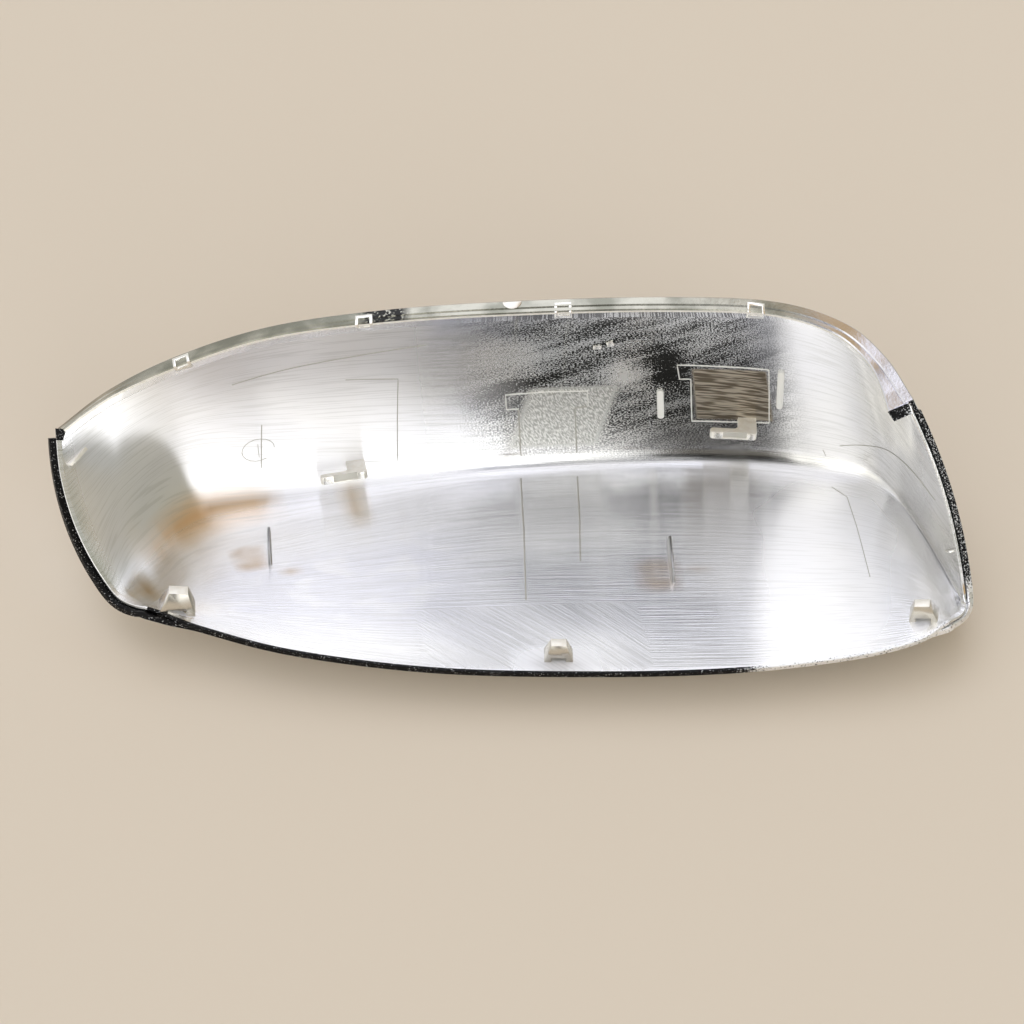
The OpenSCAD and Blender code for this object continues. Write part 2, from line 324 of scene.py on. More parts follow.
bright_chrome, tree, shader = new_material("bright_chrome")
place = object_place(tree)
haze = noise(tree, place, 60.0, 4.0)
orange_peel = noise(tree, place, 180.0, 1.0)
feed(tree, shader, {"Base Color": (0.86, 0.865, 0.87), "Metallic": 1,
                    "Roughness": ramp(tree, haze, 0.35, 0.7, 0.03, 0.08)})
add_bump(tree, shader, orange_peel, 0.25, 0.0001)

inner_chrome, tree, shader = new_material("inner_chrome")
uv, across, up = skin_place(tree)
on_wall = ramp(tree, up, 0.70, 0.80)
cloud = noise(tree, uv, 3.0, 1.0, "2D")
fine_cloud = noise(tree, uv, 13.0, 1.0, "2D")

# Its tone: a faint cloud, with patches, each told by its centre, half size, softness and colour:
# a painted shade over the left of the floor, a painted reflection and a painted shade line along
# the crease, a brown patch at the left end of the crease, and stains below the left hook and beside
# the blades
tone = mix_color(tree, ramp(tree, cloud, 0.3, 0.7), (0.86, 0.86, 0.88), (0.91, 0.905, 0.90))
patchy = ramp(tree, fine_cloud, 0.25, 0.55, 0.55, 1.0)
for centre, half, softness, color in (
        # painted shade: the left of the floor darker and lavender
        ((0.70, 0.35), (0.28, 0.20), 0.080, (0.79, 0.79, 0.83)),
        # painted reflection: an orange band along the crease
        ((0.46, 0.728), (0.20, 0.006), 0.035, (0.70, 0.42, 0.15)),
        # painted shade: a dark line in the crease
        ((0.59, 0.732), (0.09, 0.001), 0.015, (0.30, 0.18, 0.06)),
        ((0.14, 0.690), (0.04, 0.020), 0.030, (0.55, 0.42, 0.26)),
        ((0.81, 0.680), (0.006, 0.060), 0.026, (0.58, 0.46, 0.31)),
        ((0.560, 0.570), (0.035, 0.065), 0.020, (0.60, 0.49, 0.39)),
        ((0.562, 0.580), (0.015, 0.045), 0.025, (0.76, 0.70, 0.64)),
        ((0.645, 0.467), (0.016, 0.012), 0.018, (0.62, 0.52, 0.42)),
        ((1.300, 0.330), (0.030, 0.050), 0.020, (0.66, 0.56, 0.47)),
        ((1.300, 0.340), (0.012, 0.030), 0.025, (0.82, 0.77, 0.73)),
        ((1.375, 0.345), (0.020, 0.004), 0.020, (0.80, 0.73, 0.66))):
    stain_and_painted_light = multiply(tree, patch(tree, across, up, centre, half, softness), patchy)
    tone = mix_color(tree, stain_and_painted_light, tone, color)

# Marks in the wall: a hatched patch that leans, a pale fan beside it, whose paleness is a painted
# highlight, and a streaked insert
leaning = multiply_add(tree, up, -0.2, across)
hatched = patch(tree, leaning, up, (1.010, 0.905), (0.072, 0.105), 0.008)
fan = patch(tree, across, up, (1.29, 1.045), (0.020, 0.045), 0.030)
insert = patch(tree, across, up, (1.482, 0.975), (0.075, 0.092), 0.003)

# Roughness: the wall is smoother than the floor, with rougher zones, three of them at the tabs,
# each told by its centre, half size, softness and roughness
rough = mix_value(tree, on_wall, ramp(tree, cloud, 0.3, 0.7, 0.18, 0.23),
                  ramp(tree, fine_cloud, 0.35, 0.65, 0.05, 0.13))
for centre, half, softness, value in (
        ((0.50, 1.00), (0.50, 0.32), 0.05, 0.28), ((1.06, 1.09), (0.07, 0.12), 0.05, 0.27),
        ((1.70, 0.35), (0.20, 0.30), 0.10, 0.33), ((0.20, 0.19), (0.06, 0.06), 0.04, 0.7),
        ((1.07, 0.02), (0.045, 0.035), 0.04, 0.7), ((2.06, 0.09), (0.045, 0.045), 0.04, 0.7)):
    rough = mix_value(tree, patch(tree, across, up, centre, half, softness), rough, value)
marks = math_node(tree, "MAXIMUM", fan, math_node(tree, "MAXIMUM", hatched, insert))
rough = mix_value(tree, marks, rough, 0.36)

# Brushed lines along the cover, which slant near the middle of the front rim
slant = patch(tree, across, up, (1.05, 0.12), (0.2, 0.12), 0.02)
angle = put(tree, "ShaderNodeMapRange", {
    "Value": math_node(tree, "GREATER_THAN", slant, 0.5), "To Min": 0.05, "To Max": 1.0}).outputs[0]
lines = brush(tree, uv, angle, 170.0, 30.0)
grain = noise(tree, uv, 290.0, 0.0, "2D")
wall_height = math_node(tree, "ADD", multiply(tree, grain, 0.05), multiply(tree, lines, 0.16))
height = mix_value(tree, on_wall, multiply(tree, lines, 0.32), wall_height)
brushed = mix_value(tree, hatched, mix_value(tree, on_wall, 0.18, 0.3), 0.0)
tone = mix_color(tree, multiply(tree, ramp(tree, lines, 0.5, 0.66), brushed), tone,
                 (0.55, 0.55, 0.53))

# The mould's coarse grain on the wall, feathered, with the marks in it; over the middle of the wall
# its tone is a painted reflection, dark and grainy, with painted dark and bright patches
stroke = brush(tree, uv, mix_value(tree, hatched, mix_value(tree, insert, -0.5, 0.12), 1.3),
               mix_value(tree, hatched, mix_value(tree, insert, 40.0, 150.0), 420.0),
               mix_value(tree, insert, 5.0, 9.0))
rising = multiply_add(tree, across, -0.55, up)
shade = math_node(tree, "ADD", multiply(tree, grain, 1.3), multiply(tree, stroke, 0.7))
# painted highlight and painted shade inside the painted reflection: the pale fan, a dark patch, a
# dark slanting band and a bright patch above
for mask, value in (
        (fan, 0.70), (patch(tree, across, up, (1.365, 1.07), (0.022, 0.07), 0.025), -0.55),
        (patch(tree, across, rising, (1.15, 0.405), (0.10, 0.012), 0.035), -0.40),
        (patch(tree, across, up, (1.11, 1.13), (0.09, 0.05), 0.05), 0.38)):
    shade = multiply_add(tree, mask, value, shade)
# painted reflection: over the middle of the wall the tone runs from near black to pale with the
# grain, the strokes and the painted patches
painted_reflection_zone = patch(tree, across, up, (1.33, 1.06), (0.25, 0.25), 0.07)
grainy_painted_reflection = mix_color(tree, ramp(tree, shade, 0.86, 1.16), (0.05, 0.05, 0.045),
                       (0.95, 0.95, 0.93))
strokes = ramp(tree, stroke, 0.40, 0.62)
hatch_tone = mix_color(tree, strokes, (0.55, 0.55, 0.52), (0.98, 0.98, 0.95))
insert_tone = mix_color(tree, strokes, (0.24, 0.20, 0.15), (0.72, 0.65, 0.54))
for mask, color in ((painted_reflection_zone, grainy_painted_reflection), (hatched, hatch_tone), (insert, insert_tone)):
    tone = mix_color(tree, mask, tone, color)
tangent = put(tree, "ShaderNodeTangent", direction_type="UV_MAP", uv_map="skin").outputs[0]
feed(tree, shader, {"Base Color": tone, "Metallic": 1, "Roughness": rough, "Anisotropic": 1,
                    "Anisotropic Rotation": 0.25, "Tangent": tangent})
add_bump(tree, shader, height, 1.0, 0.0001)

# The rim's cut face: black grit with silver grains, more of them at the right and front right,
# where the extra, paler grains are a painted highlight
cut_face, tree, shader = new_material("grained_cut_face")
place = object_place(tree)
grit = noise(tree, place, 2600.0, 2.0)
spot = put(tree, "ShaderNodeSeparateXYZ", {0: place})
# painted highlight: more and paler silver grains at the front right and at the right end
front_right_highlight = multiply(tree, ramp(tree, spot.outputs["X"], 0.052, 0.063),
                        ramp(tree, spot.outputs["Z"], 0.016, 0.013))
right_end_highlight = ramp(tree, spot.outputs["X"], 0.094, 0.098)
limit = mix_value(tree, front_right_highlight, mix_value(tree, right_end_highlight, 0.66, 0.57), 0.36)
glint = put(tree, "ShaderNodeMapRange", {
    "Value": math_node(tree, "SUBTRACT", grit, limit), "From Min": -0.03,
    "From Max": 0.05}).outputs[0]
silver_and_highlight = mix_color(tree, front_right_highlight, (0.62, 0.63, 0.65), (0.95, 0.96, 0.98))
feed(tree, shader, {"Base Color": mix_color(tree, glint, (0.015, 0.015, 0.016), silver_and_highlight),
                    "Metallic": 1, "Roughness": 0.38})
add_bump(tree, shader, grit, 0.6, 0.0002)

# The upper rail: streaked grey, paler at the right, with a black grained stretch
rail_grey, tree, shader = new_material("rail_grey")
_, across, up = skin_place(tree)
place = object_place(tree)
streaks = noise(tree, place, 90.0, 3.0)
grit = noise(tree, place, 1400.0, 2.0)
tone = mix_color(tree, ramp(tree, streaks, 0.35, 0.65), (0.24, 0.24, 0.20), (0.46, 0.45, 0.39))
tone = mix_color(tree, ramp(tree, across, 1.62, 1.80), tone, (0.78, 0.78, 0.84))
black = multiply(tree, patch(tree, across, up, (0.900, 1.3), (0.04, 0.3), 0.01),
                 ramp(tree, grit, 0.66, 0.54))
feed(tree, shader, {"Base Color": mix_color(tree, black, tone, (0.03, 0.03, 0.03)),
                    "Metallic": 1, "Roughness": 0.24})
add_bump(tree, shader, grit, 0.3, 0.0001)

# satin chrome for the hooks, the fin and the rail; on the tabs' crest its paleness is a painted
# highlight
satin_chrome_and_highlight, tree, shader = new_material("satin_chrome_and_highlight")
haze = noise(tree, object_place(tree), 700.0, 2.0)
tone = mix_color(tree, ramp(tree, haze, 0.35, 0.65), (0.90, 0.87, 0.80), (0.96, 0.94, 0.89))
feed(tree, shader, {"Base Color": tone, "Metallic": 0.5, "Roughness": 0.45})
add_bump(tree, shader, haze, 0.2, 0.0001)


def plain_metal(name, color, metallic, roughness):
    material, tree, shader = new_material(name)
    feed(tree, shader, {"Base Color": color, "Metallic": metallic, "Roughness": roughness})
    return material


facet_chrome = plain_metal("facet_chrome", (0.88, 0.87, 0.83), 1, 0.26)
tab_chrome = plain_metal("tab_chrome", (0.66, 0.63, 0.57), 1, 0.22)
blade_chrome = plain_metal("blade_chrome", (0.36, 0.36, 0.37), 1, 0.3)
witness_grey = plain_metal("witness_grey", (0.55, 0.54, 0.50), 1, 0.5)
# painted highlight: a paler, half-diffuse copy of the witness chrome, for the upright bars and two
# outlines
witness_painted_highlight = plain_metal("witness_painted_highlight", (0.90, 0.90, 0.87), 0.5, 0.5)


# Helpers for the pieces

def finish_piece(piece, *materials):
    for material in materials:
        piece.data.materials.append(material)
    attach(piece, "root")
    return piece


def only(piece):
    """Selects one piece alone and makes it the active one."""
    bpy.ops.object.select_all(action="DESELECT")
    piece.select_set(True)
    bpy.context.view_layer.objects.active = piece


def mesh_piece(name, points, faces, looks=()):
    """A piece from points in metres and faces, with the number of each face's material."""
    mesh = bpy.data.meshes.new(name)
    mesh.from_pydata(points, [], faces)
    if looks:
        mesh.polygons.foreach_set("material_index", looks)
    piece = bpy.data.objects.new(name, mesh)
    bpy.context.scene.collection.objects.link(piece)
    only(piece)
    return piece


def face_outward():
    """Turns the active piece's faces outward."""
    bpy.ops.object.mode_set(mode="EDIT")
    bpy.ops.mesh.select_all(action="SELECT")
    bpy.ops.mesh.normals_make_consistent(inside=False)
    bpy.ops.object.mode_set(mode="OBJECT")


# The moulding: outer skin, inner skin and the profile of the rim between them

def upper_profile(p, q, n, away, share):
    """Points over the upper rim at a share of the length: edge, groove and rail, softened."""
    s = max(0, (share - 1 + RAMP_SHARE) / RAMP_SHARE)
    rail = RAIL_WIDTH + (RAMP_WIDTH - RAIL_WIDTH) * s * s
    edge = WALL + rail
    return [p + 0.2 * n + 0.12 * away, p + (WALL - GROOVE_HALF) * n + 0.05 * away,
            p + WALL * n - GROOVE_DEEP * away, p + (WALL + GROOVE_HALF) * n,
            p + (edge - RAIL_ROUND) * n, p + edge * n - RAIL_ROUND * away,
            p + edge * n - 0.9 * away, q + rail * n + SOFT * away, q + (rail - SOFT) * n]


def lapped_profile(p, q, n, away):
    """Points over the lapped rim: cut face and tongue, softened."""
    inside = WALL - TONGUE_WALL
    return [p + 0.2 * n + SOFT * away, p + (inside - SOFT) * n + 0.1 * away,
            p + inside * n - 0.1 * away, p + inside * n + (TONGUE_RISE - SOFT) * away,
            p + (inside + SOFT) * n + TONGUE_RISE * away,
            q - SOFT * n + TONGUE_RISE * away, q + (TONGUE_RISE - SOFT) * away,
            q + 0.5 * away, q + 0.2 * away]


def rim_look(line, here, ahead, front):
    """Number of the material of a strip of the rim, told by the rim on both sides of it."""
    if here and ahead:
        return (3, 3, 3, 3, 3, 3, 4, 1, 1, 1)[line]
    if here or ahead:
        return 2 if 4 < line < 8 else 3
    return 2 if 0 < line < (8 if front else 3) else 1


def build_shell():
    outer, lower = sections(SHARES, 0), sections(SHARES, RAIL_HEIGHT)
    outer_n, inner = inward(outer), lower + WALL * inward(lower)
    rim = ([(i, 0) for i in range(COLUMNS + 1)] + [(COLUMNS, j) for j in range(1, ROWS + 1)]
           + [(i, ROWS) for i in range(COLUMNS - 1, -1, -1)]
           + [(0, j) for j in range(ROWS - 1, 0, -1)])
    count = len(rim)
    profiles, kinds = [], []
    for k, place in enumerate(rim):
        p, q, n = outer[place], inner[place], outer_n[place]
        before, after = outer[rim[k - 1]], outer[rim[(k + 1) % count]]
        away = unit(np.cross(after - before, n))
        upper = place[1] == ROWS and 0 < place[0] < COLUMNS
        profiles.append(upper_profile(p, q, n, away, SHARES[place[0]]) if upper
                        else lapped_profile(p, q, n, away))
        kinds.append(upper)
    profiles = np.array(profiles)
    steps = profiles.shape[1]
    grid = (COLUMNS + 1) * (ROWS + 1)
    points = np.concatenate([part.reshape(-1, 3) for part in (outer, inner, profiles)]) - ORIGIN
    points[:, 2] = np.maximum(points[:, 2], 0)

    def grid_point(i, j):
        return i * (ROWS + 1) + j

    def rim_point(line, k):
        if line == 0:
            return grid_point(*rim[k % count])
        if line == steps + 1:
            return grid + grid_point(*rim[k % count])
        return 2 * grid + (k % count) * steps + line - 1

    faces, looks = [], []
    for i in range(COLUMNS):
        for j in range(ROWS):
            a, b = grid_point(i, j), grid_point(i + 1, j)
            c, d = grid_point(i + 1, j + 1), grid_point(i, j + 1)
            faces += [(d, c, b, a), (grid + a, grid + b, grid + c, grid + d)]
            looks += [0, 1]
    for k in range(count):
        for line in range(steps + 1):
            faces.append((rim_point(line, k), rim_point(line, k + 1), rim_point(line + 1, k + 1),
                          rim_point(line + 1, k)))
            looks.append(rim_look(line, kinds[k], kinds[(k + 1) % count], rim[k][1] == 0))
    piece = mesh_piece("cover_shell_skin", (points * MM).tolist(), faces, looks)
    mesh = piece.data

    # The skin's own map: lengths along the cover and over its middle section
    middle = sections(np.array([0.5]), 0)[0]
    lengths = np.linalg.norm(np.diff(middle, axis=0), axis=1)
    run = np.concatenate([[0], np.cumsum(lengths)]) / MM_PER_DM
    skin_map = np.array([(SHARES[i] * LENGTH / MM_PER_DM, run[j])
                         for i in range(COLUMNS + 1) for j in range(ROWS + 1)])
    rim_map = np.array([skin_map[grid_point(*place)] for place in rim])
    whole = np.concatenate([skin_map, skin_map, np.repeat(rim_map, steps, axis=0)])
    corners = np.empty(len(mesh.loops), int)
    mesh.loops.foreach_get("vertex_index", corners)
    mesh.uv_layers.new(name="skin").data.foreach_set("uv", whole[corners].ravel())
    mesh.update()
    bpy.ops.object.shade_smooth_by_angle(angle=math.radians(32))
    return piece


shell = finish_piece(build_shell(), bright_chrome, inner_chrome, cut_face, rail_grey, satin_chrome_and_highlight)
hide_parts("cover_shell")


# The outer layer of the lapped rim: at both ends it reaches out past the tongue

def lap_layer():
    outer = sections(SHARES, 0)
    normals = inward(outer)
    path = ([(0, j) for j in range(ROWS - 2, 0, -1)] + [(i, 0) for i in range(COLUMNS + 1)]
            + [(COLUMNS, j) for j in range(1, ROWS - 1)])
    points, faces, looks = [], [], []
    for k, place in enumerate(path):
        p, n, share = outer[place], normals[place], SHARES[place[0]]
        before, after = outer[path[max(k - 1, 0)]], outer[path[min(k + 1, len(path) - 1)]]
        away = unit(np.cross(after - before, n))
        end = max(1 - share / 0.12, (share - 0.92) / 0.08, 0)
        reach = SOFT + (LAP_RIGHT if share > 0.5 else LAP_LEFT) * end * end * (3 - 2 * end)
        points += [p - 0.05 * n - 0.8 * away, p - 0.05 * n + (reach - 0.2) * away,
                   p + 0.15 * n + reach * away, p + (LAP_WALL - 0.2) * n + reach * away,
                   p + LAP_WALL * n + (reach - 0.2) * away, p + LAP_WALL * n - 0.8 * away]
        if k:
            for c in range(6):
                d, row = (c + 1) % 6, 6 * k
                faces.append((row + c, row + d, row + d - 6, row + c - 6))
                looks.append(1 if c in (2, 3, 4) else 0)
    last = 6 * (len(path) - 1)
    faces += [(5, 4, 3, 2, 1, 0), tuple(last + c for c in range(6))]
    looks += [1, 1]
    piece = mesh_piece("lap_layer", ((np.array(points) - ORIGIN) * MM).tolist(), faces, looks)
    face_outward()
    bpy.ops.object.shade_smooth_by_angle(angle=math.radians(30))
    return piece


finish_piece(lap_layer(), bright_chrome, cut_face)


# Modelling helpers for what stands on the skin, in the seat's own millimetres

def box(name, low, high):
    """A box between two corners, alone and selected."""
    bpy.ops.object.select_all(action="DESELECT")
    bpy.ops.mesh.primitive_cube_add(size=1)
    piece = bpy.context.object
    piece.name = piece.data.name = name
    piece.location = [(a + b) / 2 * MM for a, b in zip(low, high)]
    piece.scale = [(b - a) * MM for a, b in zip(low, high)]
    bpy.ops.object.transform_apply(location=True, rotation=True, scale=True)
    return piece


def shape(piece, picked, *steps, kind="faces"):
    """Selects faces or edges by a test on place and direction, and runs edit-mode steps on them."""
    only(piece)
    bpy.ops.object.mode_set(mode="EDIT")
    bpy.ops.mesh.select_mode(type="FACE" if kind == "faces" else "EDGE")
    bpy.ops.mesh.select_all(action="DESELECT")
    mesh = bmesh.from_edit_mesh(piece.data)
    if kind == "faces":
        for face in mesh.faces:
            face.select_set(bool(picked(face.calc_center_median() / MM, face.normal)))
    else:
        for edge in mesh.edges:
            a, b = (vert.co / MM for vert in edge.verts)
            edge.select_set(bool(picked((a + b) / 2, (b - a).normalized())))
    bmesh.update_edit_mesh(piece.data)
    for step in steps:
        step()
    bpy.ops.object.mode_set(mode="OBJECT")


def extrude(x, y, z):
    return lambda: bpy.ops.mesh.extrude_region_move(
        TRANSFORM_OT_translate={"value": (x * MM, y * MM, z * MM)})


def move(x, y, z):
    return lambda: bpy.ops.transform.translate(value=(x * MM, y * MM, z * MM))


def scaled(x, y, z):
    return lambda: bpy.ops.transform.resize(value=(x, y, z))


def rounded(width, segments):
    return lambda: bpy.ops.mesh.bevel(offset=width * MM, segments=segments, affect="EDGES")


def modified(piece, kind, **settings):
    """Adds a modifier and applies it."""
    only(piece)
    modifier = piece.modifiers.new(kind, kind)
    for key, value in settings.items():
        setattr(modifier, key, value)
    bpy.ops.object.modifier_apply(modifier=modifier.name)


def cut(piece, cutter):
    modified(piece, "BOOLEAN", operation="DIFFERENCE", object=cutter, solver="EXACT")
    bpy.data.objects.remove(cutter)


def seated(piece, place, *materials, edge=0.12):
    """Softens the edges, puts the piece on its seat and gives it its finish."""
    modified(piece, "BEVEL", width=edge * MM, segments=2, limit_method="ANGLE",
             angle_limit=math.radians(35))
    piece.matrix_world = place
    bpy.ops.object.transform_apply(location=True, rotation=True, scale=True)
    bpy.ops.object.shade_smooth_by_angle(angle=math.radians(40))
    return finish_piece(piece, *materials)


# Front snap tabs: wedges with a flat crest and a slot in the foot

def snap_tab(name, t, w, size):
    foot, crest, high, long, land = (size * part for part in (7.4, 3.7, 4.8, 5.2, 2.6))
    tab = box(name, (-foot / 2, -long / 2, -0.5), (foot / 2, long / 2, high))
    shape(tab, lambda place, normal: normal.z > 0.9, scaled(crest / foot, land / long, 1),
          move(0, (land - long) / 4, 0))
    wide, deep, tall = (size * part for part in (3.6, 1.5, 1.1))
    cut(tab, box("slot", (-wide / 2, -long / 2 - 1, 0), (wide / 2, -long / 2 + deep, tall)))
    # the crest takes the paler satin chrome: a painted highlight on the tab's top
    for face in tab.data.polygons:
        face.material_index = 1 if face.normal.z > 0.9 and face.center.z > 0.9 * high * MM else 0
    return seated(tab, seat(t, w, False), tab_chrome, satin_chrome_and_highlight, edge=0.07)


# Hooks: a flat stem out of the wall and an arm to the left, with a shallow recess in its front

def hook(name, t, w, reach):
    stem, arm, deep, thick = 4.8, 7.4, 2.2, 2.1
    tip, shoulder, fillet, recess = 0.9, 1.0, 1.4, 0.5
    piece = box(name, (-stem / 2, -thick / 2, -0.5), (stem / 2, thick / 2, reach - deep))
    shape(piece, lambda place, normal: normal.z > 0.9, extrude(0, 0, deep))
    shape(piece, lambda place, normal: normal.x < -0.9 and place.z > reach - deep,
          extrude(-arm, 0, 0))
    shape(piece, lambda place, way: abs(way.y) > 0.9 and place.z > reach - deep - 0.1
          and place.x < -stem / 2 - 1, rounded(tip, 4), kind="edges")
    shape(piece, lambda place, way: abs(way.y) > 0.9 and place.x > stem / 2 - 0.1
          and place.z > reach - 0.1, rounded(shoulder, 4), kind="edges")
    shape(piece, lambda place, way: abs(way.y) > 0.9 and abs(place.x + stem / 2) < 0.1
          and abs(place.z - reach + deep) < 0.1, rounded(fillet, 5), kind="edges")
    cut(piece, box("recess", (-stem / 2 - arm + 3.4, -thick / 2 + 0.35, reach - recess),
                   (stem / 2 - 2.6, thick / 2 + 1, reach + 1)))
    for face in piece.data.polygons:
        if face.normal.z > 0.9 and face.center.z > (reach - 1) * MM:
            face.material_index = 1 if face.center.z > (reach - 0.1) * MM else 2
    return seated(piece, seat(t, w, True), satin_chrome_and_highlight, facet_chrome, witness_grey)


# Blade ribs on the floor: thin, lower at both ends, with a thinner front stretch

def blade(name, t, w, long):
    high, thick = 4, 1
    piece = box(name, (-thick / 2, -long / 2, -0.5), (thick / 2, long / 2, high))
    shape(piece, lambda place, normal: normal.z > 0.9, scaled(0.7, (long - high) / long, 1))
    cut(piece, box("step", (0.15, -long / 2 - 1, 0.4), (thick, -long / 6, high + 1)))
    return seated(piece, seat(t, w, False), blade_chrome, edge=0.08)


# Upright bars with rounded ends on the wall

def bar(name, t, w, long, turn):
    wide, proud = 1.8, 0.9
    piece = box(name, (-wide / 2, -long / 2, -0.5), (wide / 2, long / 2, proud))
    shape(piece, lambda place, way: abs(way.z) > 0.9, rounded(0.8, 5), kind="edges")
    place = seat(t, w, True) @ Matrix.Rotation(math.radians(turn), 4, "Z")
    # the bars take the paler witness material: a painted highlight on them
    return seated(piece, place, witness_painted_highlight, edge=0.3)


# Clips across the rail: a bar at the back and two legs towards the hollow

def upper_clip(name, t):
    wide, back, front, low, high, leg = 4.4, -1.5, RAIL_WIDTH + 0.35, -0.3, 1.9, 0.8
    piece = box(name, (-wide / 2, low, back), (wide / 2, high, front))
    cut(piece, box("gap", (-wide / 2 + leg, 0.9, back + 1.1),
                   (wide / 2 - leg, high + 1, front + 1)))
    return seated(piece, seat(t, 0.97, True), facet_chrome, edge=0.15)


# Fin on the left end, and the half-round gate mark on the upper rim

def fin(name, t, w):
    long, thick, high = 7, 1, 2
    piece = box(name, (-long / 2, -thick / 2, -0.5), (long / 2, thick / 2, high))
    shape(piece, lambda place, normal: normal.z > 0.9, scaled(0.33, 0.8, 1), move(-long / 3, 0, 0))
    return seated(piece, seat(t, w, True), satin_chrome_and_highlight, edge=0.08)


def gate_mark(name, t):
    bpy.ops.object.select_all(action="DESELECT")
    radius, thick = 2.4, 0.5
    bpy.ops.mesh.primitive_cylinder_add(vertices=40, radius=radius * MM, depth=thick * MM)
    piece = bpy.context.object
    piece.name = piece.data.name = name
    only(piece)
    bpy.ops.object.mode_set(mode="EDIT")
    bpy.ops.mesh.select_all(action="SELECT")
    bpy.ops.mesh.bisect(plane_co=(0, 0, 0), plane_no=(0, 1, 0), use_fill=True, clear_inner=True)
    bpy.ops.object.mode_set(mode="OBJECT")
    place = seat(t, 0.985, True) @ Matrix.Translation((0, 0.9 * MM, -2.3 * MM))
    lying = Matrix.Rotation(math.radians(-90), 4, "X") @ Matrix.Scale(-1, 4, (0, 1, 0))
    return seated(piece, place @ lying, tab_chrome, edge=0.1)


snap_tab("left_front_tab", 0.095, 0.23, 1.25)
snap_tab("middle_front_tab", 0.470, 0.07, 1)
snap_tab("right_front_tab", 0.906, 0.16, 1)
hook("left_hook", 0.361, 0.145, 7.6)
hook("right_hook", 0.656, 0.26, 7.2)
blade("left_blade", 0.271, 0.68, 12)
blade("right_blade", 0.580, 0.50, 15)
bar("short_bar", 0.588, 0.36, 9.6, 4)
bar("long_bar", 0.692, 0.47, 12.6, 6)
for number, t in enumerate((0.205, 0.378, 0.523, 0.678)):
    upper_clip("upper_clip_%d" % (number + 1), t)
fin("left_fin", 0.03, 0.80)
gate_mark("gate_mark", 0.487)


# Witness lines: low ridges that the mould's inserts leave on the inner face

RIDGE_STEP, RIDGE_FOOT, LEG_LENGTH = 1.5, -0.08, 60


def ridge(name, runs, wide=0.45, high=0.22, material=witness_grey):
    """Ridges along runs of places (share of the length, share of the leg) on the floor or wall."""
    profile = ((-wide / 2, RIDGE_FOOT), (-wide / 6, high), (wide / 6, high), (wide / 2, RIDGE_FOOT))
    points, faces = [], []
    for on_wall, stops in runs:
        track = []
        for (t0, w0), (t1, w1) in zip(stops, stops[1:]):
            far = math.hypot((t1 - t0) * LENGTH, (w1 - w0) * LEG_LENGTH)
            steps = max(2, int(far / RIDGE_STEP))
            track += [(t0 + (t1 - t0) * k / steps, w0 + (w1 - w0) * k / steps)
                      for k in range(steps)]
        track.append(stops[-1])
        frames = [seat(t, w, on_wall) for t, w in track]
        start = len(points)
        for k, place in enumerate(frames):
            before, after = frames[max(k - 1, 0)], frames[min(k + 1, len(frames) - 1)]
            out = place.col[2].to_3d()
            side = out.cross(after.translation - before.translation).normalized()
            for reach, lift in profile:
                points.append(place.translation + (side * reach + out * lift) * MM)
            if k:
                row = start + 4 * k
                for c in range(4):
                    d = (c + 1) % 4
                    faces.append((row + c, row + d, row + d - 4, row + c - 4))
        last = start + 4 * (len(frames) - 1)
        faces.append((start + 3, start + 2, start + 1, start))
        faces.append((last, last + 1, last + 2, last + 3))
    piece = mesh_piece(name, [tuple(p) for p in points], faces)
    face_outward()
    return finish_piece(piece, material)


ridge("middle_witness_outline", [
    (True, [(0.538, 0.36), (0.538, 0.448), (0.510, 0.454), (0.480, 0.451), (0.480, 0.362),
            (0.489, 0.360)])],
    material=witness_painted_highlight)
ridge("middle_witness_line", [
    (True, [(0.489, 0.355), (0.488, 0.06)]),
    (False, [(0.484, 0.92), (0.475, 0.68), (0.460, 0.345)]),
    (True, [(0.537, 0.352), (0.529, 0.347), (0.528, 0.07)]),
    (False, [(0.525, 0.91), (0.519, 0.713), (0.511, 0.522)])])
ridge("right_witness_line", [
    (True, [(0.683, 0.586), (0.638, 0.592), (0.603, 0.599), (0.604, 0.509), (0.613, 0.509),
            (0.611, 0.250), (0.642, 0.249), (0.676, 0.255), (0.683, 0.586)])],
    material=witness_painted_highlight)
ridge("left_witness_line", [
    (True, [(0.360, 0.638), (0.400, 0.605), (0.392, 0.121), (0.357, 0.158)]),
    (True, [(0.289, 0.453), (0.286, 0.206)])], 0.35, 0.15)
ridge("upper_witness_line", [
    (True, [(0.261, 0.734), (0.307, 0.754), (0.365, 0.774), (0.424, 0.799)])], 0.35, 0.15)
ring = [(0.284 + 0.0153 * math.cos(math.radians(a)), 0.312 + 0.0625 * math.sin(math.radians(a)))
        for a in range(0, 301, 20)]
ridge("ring_mark", [(True, ring), (True, [(0.2843, 0.345), (0.2848, 0.27)])], 0.25, 0.1)


def small_mark(name, t, w, on_wall, size, turn=0):
    """A low raised mark on the skin."""
    x, y, z = size
    piece = box(name, (-x / 2, -y / 2, -0.3), (x / 2, y / 2, z))
    place = seat(t, w, on_wall) @ Matrix.Rotation(math.radians(turn), 4, "Z")
    return seated(piece, place, facet_chrome, edge=0.1)


small_mark("white_mark", 0.546, 0.725, True, (2.2, 1.3, 0.3))
small_mark("white_mark_end", 0.555, 0.745, True, (1.8, 1.8, 0.3), 20)
small_mark("burr", 0.992, 0.24, True, (2.4, 0.6, 1.2), 35)
ridge("right_arc_line", [
    (True, [(0.752, 0.172), (0.805, 0.239), (0.880, 0.345), (0.947, 0.430), (0.979, 0.443)]),
    (True, [(0.729, 0.129), (0.735, 0.046)]),
    (False, [(0.733, 0.872), (0.752, 0.828), (0.765, 0.673), (0.784, 0.402)])], 0.28, 0.12)


# Camera at the photograph's viewing angle

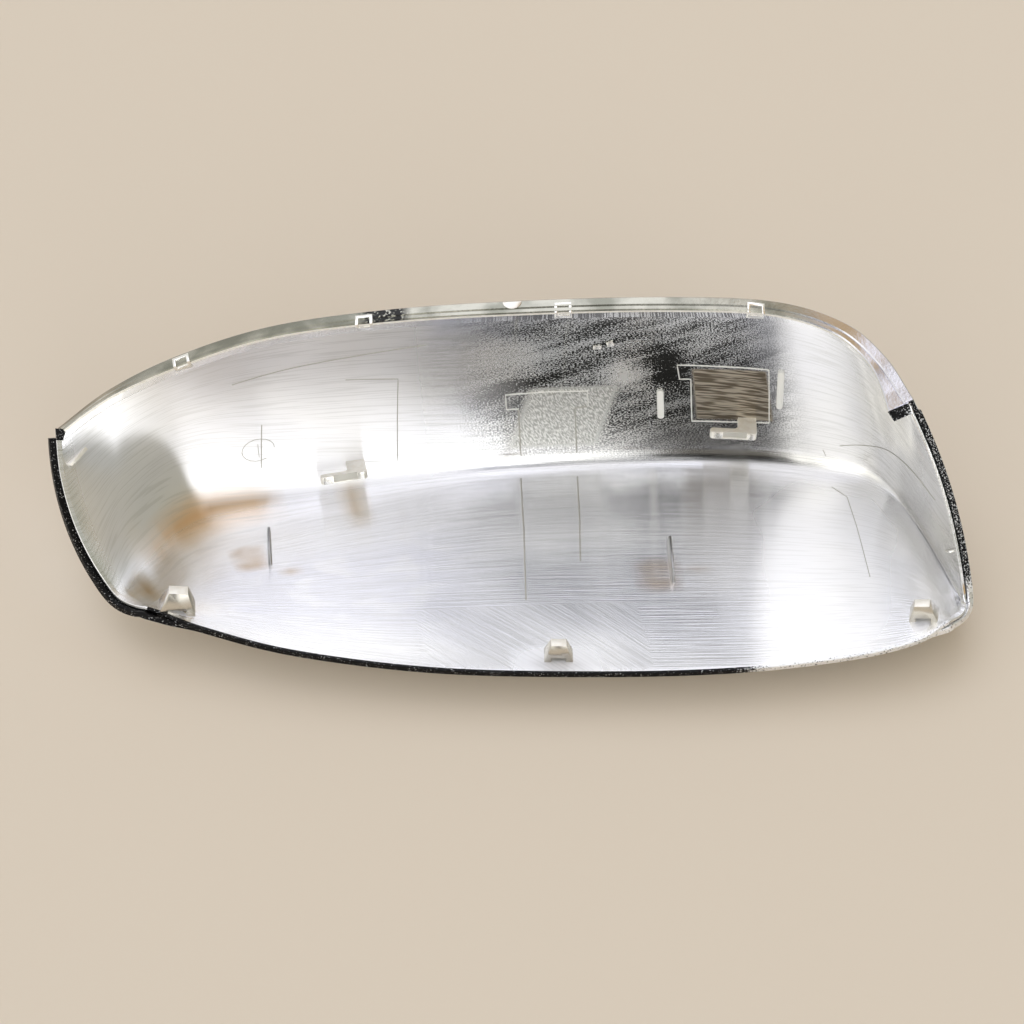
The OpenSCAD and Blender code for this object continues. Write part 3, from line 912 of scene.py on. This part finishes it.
camera_data = bpy.data.cameras.new("camera")
camera_data.lens, camera_data.sensor_width = 62.4, 36
camera_data.clip_start, camera_data.clip_end = 0.01, 50
camera = bpy.data.objects.new("camera", camera_data)
camera.location = (-0.285 * MM, -273.77 * MM, 371.62 * MM)
camera.rotation_euler = (math.radians(38), 0, 0)
bpy.context.scene.collection.objects.link(camera)
bpy.context.scene.camera = camera


# Floor

bpy.ops.object.select_all(action="DESELECT")
bpy.ops.mesh.primitive_plane_add(size=6)
floor = bpy.context.object
floor.name = "pale_floor"
floor_look, tree, shader = new_material("pale_floor")
feed(tree, shader, {"Base Color": (0.70, 0.62, 0.52), "Roughness": 0.9})
floor.data.materials.append(floor_look)


# Soft studio light: a pale surround with soft cards. Each is told by two directions in degrees:
# from the front (right positive) and over the horizon. The last three, which make the dark band,
# are told by the share sideways (right positive) and the height over the front horizon.

world = bpy.data.worlds.new("studio")
world.use_nodes = True
bpy.context.scene.world = world
tree = world.node_tree
background = next(node for node in tree.nodes if node.type == "BACKGROUND")
way = put(tree, "ShaderNodeSeparateXYZ", {
    0: put(tree, "ShaderNodeTexCoord").outputs["Generated"]})
front = multiply(tree, way.outputs["Y"], -1.0)
turn = math_node(tree, "DEGREES", math_node(tree, "ARCTAN2", way.outputs["X"], front))
either_side = math_node(tree, "ABSOLUTE", turn)
climb = math_node(tree, "DEGREES", math_node(tree, "ARCSINE", way.outputs["Z"]))
sideways = multiply(tree, way.outputs["X"], 100.0)
tilt = math_node(tree, "DEGREES", math_node(tree, "ARCTAN2", way.outputs["Z"], front))
light = (0.80, 0.79, 0.76)
for across, up, centre, half, softness, color in (
        (either_side, climb, (180, 90), (70, 55), 4, (1.75, 1.77, 1.88)),
        (turn, climb, (97, 25), (60, 22), 8, (0.40, 0.40, 0.33)),
        (turn, climb, (105, 61), (55, 13), 3, (0.52, 0.36, 0.17)),
        (turn, climb, (24, 42), (17, 36), 2.5, (2.1, 2.1, 2.06)),
        (either_side, climb, (90, 90), (100, 16), 3, (1.25, 1.25, 1.33)),
        (turn, climb, (27, 58), (22, 11), 2, (0.34, 0.34, 0.42)),
        (turn, climb, (-24, 38), (18, 32), 9, (1.5, 1.48, 1.40)),
        (turn, climb, (-52, 32), (10, 10), 7, (1.3, 1.27, 1.15)),
        (sideways, tilt, (1.5, 31), (10, 37), 3.5, (0.16, 0.15, 0.13)),
        (sideways, tilt, (1.5, 48), (10, 22), 0.8, (0.004, 0.004, 0.003)),
        (sideways, tilt, (8.5, 51), (3.5, 5), 0.8, (0.70, 0.70, 0.67))):
    light = mix_color(tree, patch(tree, across, up, centre, half, softness), light, color)
path = put(tree, "ShaderNodeLightPath")
feed(tree, background, {"Strength": 1, "Color": mix_color(
    tree, path.outputs["Is Camera Ray"], light, (0.78, 0.72, 0.65))})
bpy.context.scene.view_settings.view_transform = "Standard"
